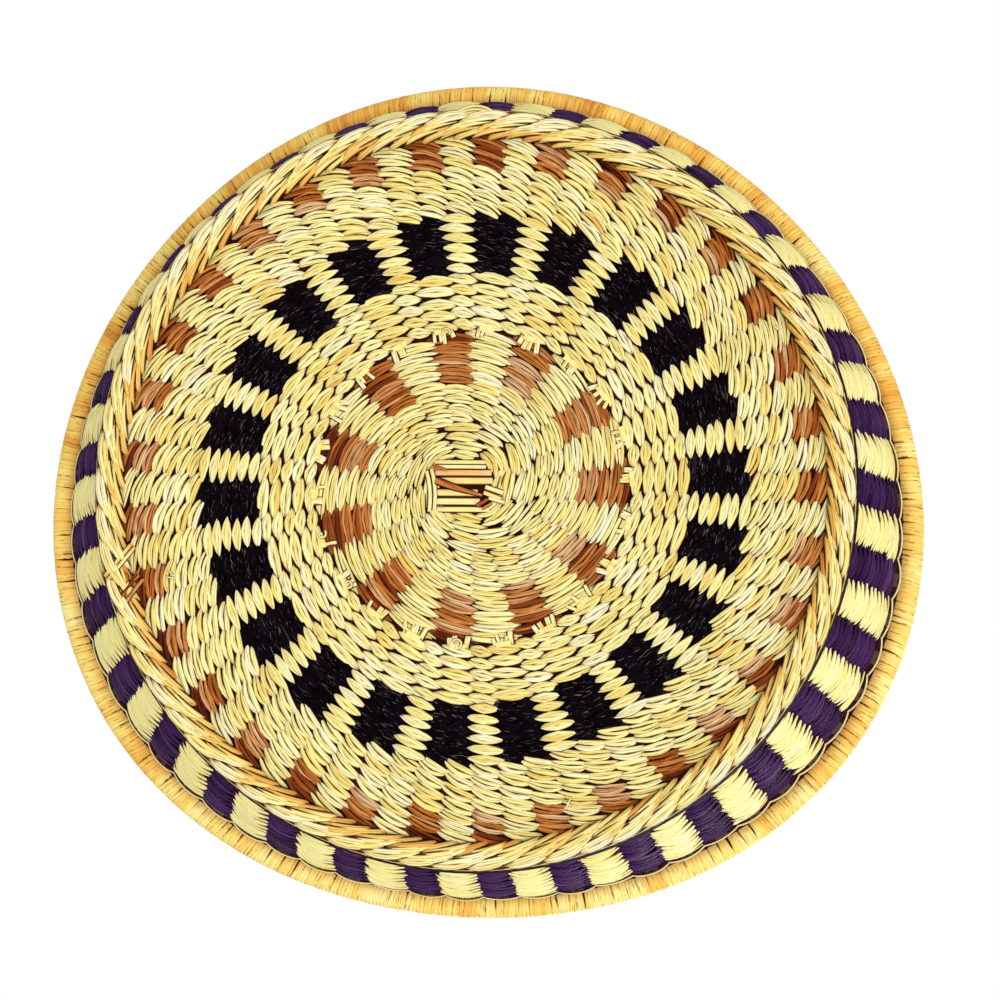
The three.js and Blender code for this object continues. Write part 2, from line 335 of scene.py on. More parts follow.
def modelStraw(name, shape):
    bpy.ops.object.select_all(action="DESELECT")
    stations = shape["stations"]
    girths = shape["girths"]
    bpy.ops.mesh.primitive_circle_add(
        vertices=strawSides, radius=girths[0] / 2, fill_type="NGON",
        location=(stations[0], 0, 0), rotation=(0, math.pi / 2, 0),
    )
    straw = bpy.context.active_object
    straw.name = name
    bpy.ops.object.transform_apply(location=True, rotation=True, scale=True)
    bpy.ops.object.mode_set(mode="EDIT")
    bpy.ops.mesh.select_all(action="SELECT")
    for i in range(1, len(stations)):
        step = stations[i] - stations[i - 1]
        bpy.ops.mesh.extrude_region_move(TRANSFORM_OT_translate={"value": (step, 0, 0)})
        ratio = girths[i] / girths[i - 1]
        bpy.ops.transform.resize(value=(1, ratio, ratio), center_override=(stations[i], 0, 0))
    bpy.ops.mesh.select_all(action="SELECT")
    bpy.ops.mesh.normals_make_consistent(inside=False)
    bpy.ops.object.mode_set(mode="OBJECT")
    return takeSeed(straw)


def takeSeed(source):
    # the model's points and faces, kept for its copies
    mesh = source.data
    points = np.zeros(len(mesh.vertices) * 3)
    mesh.vertices.foreach_get("co", points)
    faces = [list(polygon.vertices) for polygon in mesh.polygons]
    seed = {"points": points.reshape(-1, 3), "faces": faces}
    bpy.data.objects.remove(source)
    return seed


leafSeed = modelStraw("leafStraw", leafShape)
pillowSeed = modelStraw("pillowStraw", pillowShape)
diamondSeed = modelStraw("diamondStraw", diamondShape)
barSeed = modelStraw("barStraw", barShape)
curlSeed = modelStraw("curlStraw", curlShape)


def seedAxes(seed):
    # the seed's coordinates as rows, so that one row for each copy spreads over them
    return (seed["points"][None, :, i] for i in range(3))


def bundleOf(tone, low=0.0, high=0.0):
    # a straw's tone and whether its low and its high side lie at the edge of its bundle,
    # where painted outline shade goes
    tone = np.asarray(tone, float)
    return np.stack([tone, low + 0 * tone, high + 0 * tone], axis=-1)


def copySeed(name, seed, places, bundle, finish):
    # places holds every copy's points; bundle holds its tone and whether its two sides get painted
    # shade
    copies, count = places.shape[:2]
    corners = np.concatenate([np.array(face) for face in seed["faces"]])
    starts = np.cumsum([0] + [len(face) for face in seed["faces"]])[:-1]
    shift = np.arange(copies)[:, None]
    allCorners = (corners[None, :] + shift * count).ravel().astype(np.int32)
    allStarts = (starts[None, :] + shift * len(corners)).ravel().astype(np.int32)
    mesh = bpy.data.meshes.new(name)
    mesh.vertices.add(copies * count)
    mesh.vertices.foreach_set("co", places.reshape(-1).astype(np.float32))
    mesh.loops.add(len(allCorners))
    mesh.loops.foreach_set("vertex_index", allCorners)
    mesh.polygons.add(len(allStarts))
    mesh.polygons.foreach_set("loop_start", allStarts)
    mesh.update(calc_edges=True)
    along = seed["points"][:, 0] + 0.5
    across = seed["points"][:, 1] + 0.5
    layer = mesh.uv_layers.new(name="strawMap")
    uv = np.stack([along[corners], across[corners]], axis=-1)
    layer.data.foreach_set("uv", np.tile(uv, (copies, 1)).ravel())
    kept = mesh.attributes.new("strawBundle", "FLOAT_VECTOR", "POINT")
    kept.data.foreach_set("vector", np.repeat(bundle, count, axis=0).ravel().astype(np.float32))
    mesh.materials.append(finishes[finish])
    mesh.polygons.foreach_set("use_smooth", np.ones(len(allStarts), bool))
    mesh.validate()
    piece = bpy.data.objects.new(name, mesh)
    bpy.context.scene.collection.objects.link(piece)
    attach(piece, "root")
    return piece


# Straw finishes

def fibreGroup():
    # fibres and ends of a straw; painted shade in its crease, at its sides, round its bundle's
    # outline
    group = bpy.data.node_groups.new("strawFibres", "ShaderNodeTree")
    group.interface.new_socket("Along", in_out="INPUT", socket_type="NodeSocketFloat")
    group.interface.new_socket("Across", in_out="INPUT", socket_type="NodeSocketFloat")
    outputs = ("Tone", "Fibres", "ScratchesAndGlints", "CreaseShade", "SideShade", "OutlineShade", "Ends", "Blotches",
               "DashShade")
    for name in outputs:
        group.interface.new_socket(name, in_out="OUTPUT", socket_type="NodeSocketFloat")
    start = group.nodes.new("NodeGroupInput")
    end = group.nodes.new("NodeGroupOutput")
    place = addNode(group, "ShaderNodeUVMap", uv_map="strawMap")
    parts = addNode(group, "ShaderNodeSeparateXYZ", {"Vector": place.outputs["UV"]})
    kept = addNode(group, "ShaderNodeAttribute", attribute_name="strawBundle")
    bundle = addNode(group, "ShaderNodeSeparateXYZ", {"Vector": kept.outputs["Vector"]})
    along = mathNode(group, "MULTIPLY", parts.outputs["X"], start.outputs["Along"])
    across = mathNode(group, "MULTIPLY", parts.outputs["Y"], start.outputs["Across"])
    depth = mathNode(group, "MULTIPLY", bundle.outputs["X"], 91.7)
    spot = addNode(group, "ShaderNodeCombineXYZ", {"X": along, "Y": across, "Z": depth})
    noise = addNode(group, "ShaderNodeTexNoise", {
        "Vector": spot.outputs[0], "Scale": 1.0, "Detail": 2.0,
    })
    fibres = spread(group, noise.outputs["Fac"], 0.36, 0.68)
    # pale flecks: scratches on the dark and purple straws, and painted glints of sheen on them
    scratchesAndGlints = spread(group, noise.outputs["Fac"], 0.67, 0.72)
    slow = addNode(group, "ShaderNodeCombineXYZ", {
        "X": parts.outputs["X"], "Y": bundle.outputs["X"], "Z": depth,
    })
    blotch = addNode(group, "ShaderNodeTexNoise", {
        "Vector": slow.outputs[0], "Scale": 2.2, "Detail": 2.0,
    })
    blotches = spread(group, blotch.outputs["Fac"], 0.5, 0.72)
    gentle = addNode(group, "ShaderNodeTexNoise", {
        "Vector": slow.outputs[0], "Scale": 0.9, "Detail": 0.0,
    })
    wander = mathNode(group, "SUBTRACT", gentle.outputs["Fac"], 0.5)
    wander = mathNode(group, "MULTIPLY", wander, 1.3)
    middle = mathNode(group, "SUBTRACT", parts.outputs["Y"], 0.5)
    middle = mathNode(group, "SUBTRACT", middle, wander)
    # painted shade: a darker line down the middle of each straw, in its crease
    creaseShades = spread(group, mathNode(group, "ABSOLUTE", middle), 0.015, 0.07, 1.0, 0.0)
    # painted shade along both long sides of each straw, where it rounds away and meets the next
    low = spread(group, parts.outputs["Y"], 0.08, 0.26, 1.0, 0.0)
    high = spread(group, parts.outputs["Y"], 0.74, 0.92)
    sides = mathNode(group, "MAXIMUM", low, high)
    # painted shade round the outline of each bundle, on the outer sides of its edge straws
    lowOutlineShade = mathNode(group, "MULTIPLY", low, bundle.outputs["Y"])
    highOutlineShade = mathNode(group, "MULTIPLY", high, bundle.outputs["Z"])
    outlineShade = mathNode(group, "MAXIMUM", lowOutlineShade, highOutlineShade)
    tip = mathNode(group, "ABSOLUTE", mathNode(group, "SUBTRACT", parts.outputs["X"], 0.5))
    tips = spread(group, tip, 0.28, 0.5)
    short = addNode(group, "ShaderNodeCombineXYZ", {
        "X": along, "Y": mathNode(group, "MULTIPLY", parts.outputs["Y"], 0.6), "Z": depth,
    })
    broken = addNode(group, "ShaderNodeTexNoise", {
        "Vector": short.outputs[0], "Scale": 1.0, "Detail": 1.0,
    })
    patches = spread(group, broken.outputs["Fac"], 0.54, 0.6)
    # painted shade in broken dashes along the sides and crease of each straw
    dashShades = mathNode(group, "MULTIPLY", mathNode(group, "MAXIMUM", sides, creaseShades), patches)
    values = (bundle.outputs["X"], fibres, scratchesAndGlints, creaseShades, sides, outlineShade, tips, blotches, dashShades)
    for name, value in zip(outputs, values):
        group.links.new(value, end.inputs[name])
    return group


strawFibres = fibreGroup()

# every finish: its tones, then the colour and share of its fibres, of painted shade in its creases,
# at its sides and its bundle's outline, of its ends, and of flecks with painted glints or dashes of
# painted shade
strawFinishes = {
    "naturalStraw": {
        "tones": [(0.0, (236, 184, 96)), (0.08, (245, 216, 122)), (0.3, (250, 236, 150)),
                  (0.6, (253, 246, 174)), (0.85, (255, 250, 202)), (1.0, (255, 253, 222))],
        "fibre": ((214, 172, 44), 0.34),
        "creaseShade": ((130, 76, 8), 0.6),
        "side": ((84, 32, 2), 0.93),
        "edge": ((42, 4, 1), 0.98),
        "tip": ((255, 236, 196), 0.45),
        "along": 2.4, "across": 9.0, "roughness": 0.55, "shine": 0.1,
    },
    "rustStraw": {
        "tones": [(0.0, (76, 22, 6)), (0.2, (134, 62, 20)), (0.4, (192, 106, 36)),
                  (0.6, (220, 138, 60)), (0.8, (236, 168, 100)), (1.0, (250, 206, 150))],
        "fibre": ((104, 36, 10), 0.6),
        "creaseShade": ((66, 14, 2), 0.8),
        "side": ((54, 8, 1), 0.9),
        "edge": ((28, 1, 0), 0.98),
        "tip": ((232, 160, 100), 0.3),
        "along": 2.4, "across": 9.0, "roughness": 0.5, "shine": 0.08,
    },
    "darkStraw": {
        "tones": [(0.0, (2, 0, 2)), (0.7, (8, 1, 7)), (0.93, (20, 10, 20)), (1.0, (72, 58, 64))],
        "fibre": ((4, 0, 3), 0.5),
        "creaseShade": ((3, 0, 2), 0.5),
        "side": ((3, 0, 2), 0.5),
        "edge": ((3, 0, 2), 0.8),
        "tip": ((16, 6, 12), 0.3),
        "scratchAndGlint": ((196, 182, 176), 0.6),
        "along": 2.2, "across": 14.0, "roughness": 0.6, "shine": 0.03,
    },
    "purpleStraw": {
        "tones": [(0.0, (30, 6, 32)), (0.4, (54, 20, 70)), (0.78, (78, 40, 100)),
                  (0.96, (112, 74, 128)), (1.0, (186, 150, 180))],
        "fibre": ((34, 8, 36), 0.55),
        "creaseShade": ((26, 4, 26), 0.5),
        "side": ((28, 4, 30), 0.7),
        "edge": ((16, 0, 14), 0.85),
        "tip": ((44, 14, 44), 0.4),
        "scratchAndGlint": ((150, 116, 160), 0.35),
        "along": 2.4, "across": 12.0, "roughness": 0.6, "shine": 0.03,
    },
    "barStraw": {
        "tones": [(0.0, (234, 172, 100)), (0.3, (248, 212, 126)), (0.7, (252, 238, 154)),
                  (1.0, (255, 246, 196))],
        "fibre": ((222, 178, 84), 0.35),
        "creaseShade": ((180, 130, 50), 0.2),
        "side": ((120, 66, 10), 0.7),
        "edge": ((64, 18, 5), 0.95),
        "tip": ((250, 206, 170), 0.5),
        "along": 2.4, "across": 9.0, "roughness": 0.55, "shine": 0.1,
    },
    "wallStraw": {
        "tones": [(0.0, (246, 222, 130)), (0.3, (252, 240, 156)), (0.7, (254, 247, 174)),
                  (1.0, (255, 251, 200))],
        "fibre": ((226, 196, 110), 0.25),
        "creaseShade": ((206, 170, 90), 0.3),
        "side": ((190, 150, 70), 0.35),
        "edge": ((150, 104, 44), 0.45),
        "tip": ((255, 240, 190), 0.3),
        "dashShade": ((92, 48, 14), 0.6),
        "along": 2.4, "across": 9.0, "roughness": 0.55, "shine": 0.1,
    },
    "rimStraw": {
        "tones": [(0.0, (206, 128, 46)), (0.25, (240, 172, 72)), (0.5, (252, 208, 102)),
                  (0.75, (254, 230, 128)), (1.0, (255, 244, 162))],
        "fibre": ((230, 166, 76), 0.3),
        "creaseShade": ((222, 160, 76), 0.25),
        "side": ((208, 142, 62), 0.5),
        "edge": ((120, 62, 18), 0.5),
        "tip": ((222, 144, 62), 0.7),
        "dashShade": ((88, 44, 14), 0.85),
        "along": 9.0, "across": 6.0, "roughness": 0.55, "shine": 0.1,
    },
    "plaitStraw": {
        "tones": [(0.0, (220, 142, 60)), (0.25, (242, 190, 96)), (0.55, (252, 230, 136)),
                  (0.85, (254, 243, 168)), (1.0, (255, 249, 200))],
        "fibre": ((222, 172, 84), 0.35),
        "creaseShade": ((134, 76, 12), 0.66),
        "side": ((104, 50, 6), 0.82),
        "edge": ((58, 14, 2), 0.97),
        "tip": ((220, 142, 60), 0.55),
        "along": 3.0, "across": 9.0, "roughness": 0.52, "shine": 0.1,
    },
}

# the layers of colour, from the lowest up: mask, colour, and how much of its share
strawLayers = [
    ("Fibres", "fibre", 1.0), ("Blotches", "fibre", 0.6), ("Ends", "tip", 1.0),
    ("CreaseShade", "creaseShade", 1.0), ("SideShade", "side", 1.0), ("OutlineShade", "edge", 1.0),
    ("ScratchesAndGlints", "scratchAndGlint", 1.0), ("DashShade", "dashShade", 1.0),
]


def strawMaterial(name, finish):
    material, tree = newMaterial(name)
    fibres = addNode(tree, "ShaderNodeGroup", node_tree=strawFibres)
    fibres.inputs["Along"].default_value = finish["along"]
    fibres.inputs["Across"].default_value = finish["across"]
    colour = colourRamp(tree, fibres.outputs["Tone"], finish["tones"])
    for output, key, part in strawLayers:
        if key in finish:
            tint, share = finish[key]
            mask = mathNode(tree, "MULTIPLY", fibres.outputs[output], share * part)
            colour = mixColour(tree, mask, colour, linearColour(tint))
    roughness = spread(tree, fibres.outputs["Fibres"], 0, 1, finish["roughness"] - 0.08,
                       finish["roughness"] + 0.12)
    addSurface(tree, colour, roughness, fibres.outputs["Fibres"], 0.35, 0.0002, finish["shine"])
    return material


finishes = {name: strawMaterial(name, finish) for name, finish in strawFinishes.items()}


def shadeGroundMaterial(name, stops):
    # the dark ground that shows between the straws: painted shade, where the gaps lie in shadow
    material, tree = newMaterial(name)
    place = addNode(tree, "ShaderNodeTexCoord")
    noise = addNode(tree, "ShaderNodeTexNoise", {
        "Vector": place.outputs["Object"], "Scale": 420.0, "Detail": 3.0,
    })
    colour = colourRamp(tree, noise.outputs["Fac"], stops)
    addSurface(tree, colour, 0.8, noise.outputs["Fac"], 0.5, 0.0003, 0.1)
    return material


shadeGroundFinish = shadeGroundMaterial("weaveShadeGround", [(0.3, (26, 4, 3)), (0.6, (58, 14, 5)),
                                             (0.9, (100, 42, 12))])
shadeFinish = shadeGroundMaterial("plaitShade", [(0.3, (8, 0, 1)), (0.6, (24, 4, 3)), (0.9, (50, 14, 5))])


def stakeMaterial():
    # the stakes of the part: straw with its fibres running out from the basket's middle
    material, tree = newMaterial("stakeStraw")
    place = addNode(tree, "ShaderNodeTexCoord")
    parts = addNode(tree, "ShaderNodeSeparateXYZ", {"Vector": place.outputs["Object"]})
    turn = mathNode(tree, "ARCTAN2", parts.outputs["Y"], parts.outputs["X"])
    reach = addNode(tree, "ShaderNodeVectorMath", {0: place.outputs["Object"]}, operation="LENGTH")
    spot = addNode(tree, "ShaderNodeCombineXYZ", {
        "X": mathNode(tree, "MULTIPLY", turn, 160.0),
        "Y": mathNode(tree, "MULTIPLY", reach.outputs["Value"], 90.0),
        "Z": mathNode(tree, "MULTIPLY", parts.outputs["Z"], 90.0),
    })
    noise = addNode(tree, "ShaderNodeTexNoise", {
        "Vector": spot.outputs[0], "Scale": 1.0, "Detail": 3.0,
    })
    stops = [(0.3, (222, 176, 92)), (0.5, (248, 226, 138)), (0.8, (254, 244, 176))]
    colour = colourRamp(tree, noise.outputs["Fac"], stops)
    # painted shade: the stakes darken near the top, where they stand between the wall and the rim
    shaded = spread(tree, parts.outputs["Z"], 0.047, 0.053, 0.0, 0.96)
    colour = mixColour(tree, shaded, colour, linearColour((52, 14, 6)))
    addSurface(tree, colour, 0.6, noise.outputs["Fac"], 0.4, 0.0002)
    return material


stakeFinish = stakeMaterial()
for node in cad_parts.values():
    node.data.materials.clear()
    node.data.materials.append(stakeFinish)
print("finishes made")


# The weave: each stitch is a bundle of two or three straws over one stake

weave = {
    "low": 0.00072,
    "rise": 0.00135,
    "thickness": 0.00115,
    "darkFill": 2.0,
    "spacing": 1.04,
    "angleJitter": 0.035,
    "runJitter": 0.00015,
    "strawJitter": 0.02,
    "liftJitter": 0.0001,
    "lengths": (0.92, 1.04),
    "widths": (0.9, 1.1),
    "slopes": (0.85, 1.15),
    "straight": 0.75,
    "bow": 0.0013,
    "seed": 11,
}
random = np.random.default_rng(weave["seed"])
ends = 22
cell = math.radians(360 / 66)
innerStart = math.radians(179.2)
outerStart = math.radians(5.32)
pairMiddle = math.radians(13.5)

# every band: its plan, its rows, where the first lies, the pitch, the columns, the colours in
# turn, the length of a stitch in cells, its slope in pitches from end to end, how full its ends
# are, and its straws; some stand proud, or have straws wider than their share of the stitch
baseBands = [
    {"plan": "even", "rows": 2, "from": 0.0113, "pitch": 0.0036, "count": 8,
     "colours": ["natural"], "length": 1.16, "slope": 0.7, "full": 1.8, "straws": 2},
    {"plan": "even", "rows": 2, "from": 0.0185, "pitch": 0.0036, "count": 11,
     "colours": ["natural"], "length": 1.16, "slope": 0.8, "full": 1.8, "straws": 2.2},
    {"plan": "even", "rows": 4, "from": 0.0257, "pitch": 0.0036, "count": 22,
     "colours": ["natural"], "length": 1.26, "slope": 0.85, "full": 1.7, "straws": 2.2},
    {"plan": "even", "rows": 5, "from": 0.0400, "pitch": 0.0038, "count": 22,
     "colours": ["rust", "natural"], "length": 1.26, "slope": 0.85, "full": 1.7, "straws": 2.7},
    {"plan": "pairs", "rows": 5, "from": 0.0596, "pitch": 0.00425, "count": 22,
     "colours": ["natural", "natural"], "length": 1.3, "slope": 0.58, "full": 1.3,
     "straws": 2.6},
    {"plan": "even", "rows": 6, "from": 0.0802, "pitch": 0.00364, "count": 66,
     "colours": ["natural", "dark", "dark"], "length": 1.44, "slope": 0.58, "full": 1.1,
     "straws": 2.6, "proud": 0.0014, "fill": 1.5},
    {"plan": "even", "rows": 4, "from": 0.1021, "pitch": 0.00432, "count": 66,
     "colours": ["natural"], "length": 1.24, "slope": 1.15, "full": 1.6, "straws": 2.3},
    {"plan": "even", "rows": 3, "from": 0.1192, "pitch": 0.00375, "count": 66,
     "colours": ["rust", "natural"], "length": 1.26, "slope": 1.2, "full": 1.6, "straws": 2.4},
]
lensBands = (4, 5)
heelBand = {"plan": "even", "rows": 3, "from": 0.1322, "pitch": 0.0036, "count": 66,
            "colours": ["purple", "natural"], "length": 1.22, "slope": 0.3, "full": 2.0,
            "straws": 3}
wallBand = {**heelBand, "rows": 11, "from": 0.1428, "pitch": 0.0031, "growth": 0.00009}
insideBand = {**wallBand, "rows": 14, "from": 0.1318, "growth": 0.00007}
# how the straws of a steep or a lens-shaped stitch lie: each one further along than the last,
# bent down towards one tip, that tip lifted, drawn together at both tips, less so at the open
# one, and wider than their share of the stitch by the fill
steep = {"stagger": 0.2, "shoulder": 0.4, "lean": 0.34, "gather": 0.86, "open": 0.42,
         "fill": 1.37}
lens = {"stagger": 0.14, "shoulder": 0.12, "lean": 0.08, "gather": 0.88, "open": 0.0,
        "fill": 1.34}
for number, band in enumerate(baseBands):
    band.update({**(lens if number in lensBands else steep), **band})
for band in (heelBand, wallBand, insideBand):
    band.update(lens)


def bandStitches(band, swap=0):
    # the place, size and colour of every stitch of a band
    stitches = []
    colours = band["colours"]
    for row in range(band["rows"]):
        growth = band.get("growth", 0)
        run = band["from"] + band["pitch"] * row + growth * row ** 2
        share = row / max(1, band["rows"] - 1)
        columns = []
        if band["plan"] == "pairs":
            for k in range(ends):
                centre = pairMiddle + 2 * math.pi / ends * k
                columns.append((centre, cell * 1.8, 0))
                columns.append((centre - cell * 1.5, cell * 1.2, 0))
        else:
            start = innerStart if band["count"] <= ends else outerStart
            step = 2 * math.pi / band["count"]
            columns = [(start + k * step, step, k) for k in range(band["count"])]
        for centre, width, k in columns:
            colour = colours[(k + swap) % len(colours)]
            length = band["length"]
            stitches.append({
                **band, "centre": centre, "width": width, "half": width * length / 2,
                "run": run, "pitch": band["pitch"] + 2 * growth * row, "colour": colour,
                "share": share, "straws": band["straws"] + (colour == "dark"),
                "proud": band.get("proud", 0.0003) if colour == "natural" else 0.0,
                "bow": weave["bow"] * (0.6 + 0.7 * share ** 2) if growth else 0,
            })
    return stitches


def stitchStraws(stitches, side):
    # every straw of the given stitches, as arrays
    listed = []
    for stitch in stitches:
        pitch = stitch["pitch"]
        width = stitch["width"]
        number = int(stitch["straws"] + random.uniform(0.0, 0.999)) if side > 0 else 2
        turn = stitch["centre"] + random.normal(0, weave["angleJitter"]) * width
        run = stitch["run"] + random.normal(0, weave["runJitter"])
        bright = random.random()
        proud = stitch["proud"]
        fill = weave["darkFill"] if stitch["colour"] == "dark" else stitch["fill"]
        for k in range(number):
            place = (k - (number - 1) / 2) / number
            listed.append((
                turn + stitch["stagger"] * place * width
                + random.normal(0, weave["strawJitter"]) * width,
                run,
                stitch["half"] * random.uniform(*weave["lengths"]),
                pitch * place * weave["spacing"],
                pitch / number * fill * random.uniform(*weave["widths"]),
                pitch * stitch["slope"] / 2 * random.uniform(*weave["slopes"]),
                proud + random.uniform(-weave["liftJitter"], weave["liftJitter"]),
                0.5 * bright + 0.5 * random.random(),
                stitch["full"],
                stitch["share"],
                1.0 if k == 0 else 0.0,
                1.0 if k == number - 1 else 0.0,
                stitch["bow"],
                stitch["shoulder"],
                stitch["lean"],
                stitch["gather"],
                stitch["open"],
            ))
    table = np.array(listed)
    names = ("turn", "run", "half", "offset", "width", "slant", "lift", "tone", "full", "share",
             "low", "high", "bow", "shoulder", "lean", "gather", "open")
    return {name: table[:, i:i + 1] for i, name in enumerate(names)} | {"side": side}


def bendStraws(seed, straws):
    x, y, z = seedAxes(seed)
    reach = 2 * x
    away = np.abs(reach)
    drawn = straws["gather"] * (1 - straws["open"] * np.maximum(0, reach))
    gather = 1 - drawn * np.minimum(1, away ** straws["full"])
    across = straws["offset"] * gather + straws["width"] * y
    across = across - straws["slant"] * (reach + straws["shoulder"] * (reach ** 2 - 0.33))
    across = across - straws["bow"] * reach ** 2
    theta = straws["turn"] + reach * straws["half"]
    chord = 1 / np.cos(reach * straws["half"]) - 1 - straws["half"] ** 2 / 6
    across = across + weave["straight"] * np.minimum(straws["run"], 0.06) * chord
    lift = weave["low"] + weave["rise"] * (1 - away ** 2.2 + straws["lean"] * reach)
    lift = (lift + weave["thickness"] * z + straws["lift"]) * straws["side"]
    return skinPlace(theta, straws["run"] + straws["side"] * across, lift)


colourFinish = {
    "natural": ("naturalStraw", "natural_straw"),
    "rust": ("rustStraw", "rust_straw"),
    "dark": ("darkStraw", "dark_straw"),
    "purple": ("purpleStraw", "purple_straw"),
}


def addWeave(prefix, bands, side, swap=0):
    # one piece for each colour of the given bands
    grouped = {}
    for band in bands:
        for stitch in bandStitches(band, swap):
            grouped.setdefault(stitch["colour"], []).append(stitch)
    for colour, stitches in grouped.items():
        finish, slot = colourFinish[colour]
        if colour == "natural" and "purple" in bands[0]["colours"]:
            finish = "wallStraw"
        table = stitchStraws(stitches, side)
        tone = table["tone"][:, 0]
        if colour == "rust":
            tone = np.clip(tone * 1.35 + 0.08 - 0.5 * table["share"][:, 0] ** 1.6, 0, 1)
        seed = leafSeed
        if bands[0]["full"] < 1.5:
            seed = pillowSeed if colour == "dark" else diamondSeed
        bundle = bundleOf(tone, table["low"][:, 0], table["high"][:, 0])
        copySeed(f"{prefix}_{colour}", seed, bendStraws(seed, table), bundle, finish)


weaveParts = {
    "centre": baseBands[:4],
    "middle": baseBands[4:5],
    "dark": baseBands[5:6],
    "outer": baseBands[6:],
    "wall": [heelBand, wallBand],
}
for part, bands in weaveParts.items():
    addWeave(f"{part}_outside", bands, 1)
print("outside woven")
weaveParts["wall"] = [insideBand]
for part, bands in weaveParts.items():
    addWeave(f"{part}_inside", bands, -1, 1)
print("inside woven")


# The dark ground between the two faces of the weave: painted shade in the gaps between straws

ground = {
    "half": 0.00096,
    "from": 0.0088,
    "steps": 132,
    "above": 0.0052,
    "discHalf": 0.00006,
    "discRadius": 0.0112,
    "discHeights": [0.00644, 0.0085],
}


def spinRing(name, section, finish):
    # a closed section of (radius, height) points, spun round the upright axis
    bpy.ops.object.select_all(action="DESELECT")
    mesh = bpy.data.meshes.new(name)
    count = len(section)
    edges = [(i, (i + 1) % count) for i in range(count)]
    mesh.from_pydata([(r, 0, z) for r, z in section], edges, [])
    piece = bpy.data.objects.new(name, mesh)
    bpy.context.scene.collection.objects.link(piece)
    bpy.context.view_layer.objects.active = piece
    piece.select_set(True)
    bpy.ops.object.mode_set(mode="EDIT")
    bpy.ops.mesh.select_all(action="SELECT")
    bpy.ops.mesh.spin(steps=ground["steps"], angle=2 * math.pi, center=(0, 0, 0), axis=(0, 0, 1))
    bpy.ops.mesh.select_all(action="SELECT")
    bpy.ops.mesh.remove_doubles(threshold=0.00001)
    bpy.ops.mesh.normals_make_consistent(inside=False)
    bpy.ops.object.mode_set(mode="OBJECT")
    bpy.ops.object.shade_smooth()
    piece.select_set(False)
    points = np.zeros(len(mesh.vertices) * 3)
    mesh.vertices.foreach_get("co", points)
    points = points.reshape(-1, 3)
    theta = np.arctan2(points[:, 1], points[:, 0])
    placed = outOfRound(theta, np.hypot(points[:, 0], points[:, 1]), points[:, 2])
    mesh.vertices.foreach_set("co", placed.ravel())
    mesh.update()
    mesh.materials.append(finish)
    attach(piece, "root")
    return piece


def shadeGroundSection():
    runs = np.concatenate([
        [ground["from"], 0.04, 0.08, skin["flatEdge"]],
        np.linspace(skin["flatEdge"], heelEnd, 5)[1:],
        np.linspace(heelEnd, wallEnd, 12)[1:],
    ])
    radius, height, slope = skinLine(runs)
    half = ground["half"]
    outside = list(zip(radius + half * np.sin(slope), height - half * np.cos(slope)))
    inside = list(zip(radius - half * np.sin(slope), height + half * np.cos(slope)))
    outside.append(aboveWall(ground["above"], half))
    inside.append(aboveWall(ground["above"], -half))
    return outside + inside[::-1]


shadeGroundPiece = spinRing("weave_shade_ground", shadeGroundSection(), shadeGroundFinish)
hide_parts("centre_weft", "inner_pattern_weft", "middle_weft", "dark_pattern_weft",
            "outer_weft", "heel_weft", "lower_wall_weft", "upper_wall_weft")


def addStartShadeGround():
    # thin dark discs at the start, painted shade, so nothing shows through between the stakes
    for number, height in enumerate(ground["discHeights"]):
        bpy.ops.object.select_all(action="DESELECT")
        bpy.ops.mesh.primitive_cylinder_add(
            vertices=32, radius=ground["discRadius"], depth=2 * ground["discHalf"],
            location=(startSquare["shiftX"], startSquare["shiftY"], height),
        )
        piece = bpy.context.active_object
        bpy.ops.object.transform_apply(location=True, rotation=True, scale=True)
        piece.name = f"start_shade_ground_{number + 1}"
        piece.data.materials.append(shadeGroundFinish)
        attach(piece, "root")


addStartShadeGround()
print("ground laid")


# The rim: turns of flat straw wound round the rod

rim = {
    "turns": 700,
    "radius": 0.00548,
    "linerRadius": 0.0047,
    "width": 1.36,
    "slits": 0.02,
    "slitWidth": 0.8,
    "tilt": 0.35,
    "tiltJitter": 0.25,
    "light": 0.62,
    # painted light and shade: the turns' tone swings from lighter on one side of the rim to darker on
    # the other
    "paintedLightSwing": 0.16,
    "paintedLightSide": 270,
    "waves": (7, 13, 23, 41, 67),
    "waveLight": 0.09,
    "seed": 23,
}


def modelTurn():
    # one turn: a flat straw bent to a closed hoop round the x axis
    bpy.ops.object.select_all(action="DESELECT")
    bpy.ops.mesh.primitive_circle_add(
        vertices=14, radius=1.0, fill_type="NOTHING", rotation=(0, math.pi / 2, 0),
    )
    turn = bpy.context.active_object
    bpy.ops.object.transform_apply(location=True, rotation=True, scale=True)
    bpy.ops.object.mode_set(mode="EDIT")
    bpy.ops.mesh.select_all(action="SELECT")
    bpy.ops.transform.resize(value=(1, 0.9, 0.9), center_override=(0, 0, 0))
    bpy.ops.transform.translate(value=(-0.5, 0, 0))
    for step, ratio in ((0.22, 1.09), (0.56, 1.0), (0.22, 0.917)):
        bpy.ops.mesh.extrude_edges_move(TRANSFORM_OT_translate={"value": (step, 0, 0)})
        bpy.ops.transform.resize(value=(1, ratio, ratio), center_override=(0, 0, 0))
    bpy.ops.object.mode_set(mode="OBJECT")
    return takeSeed(turn)


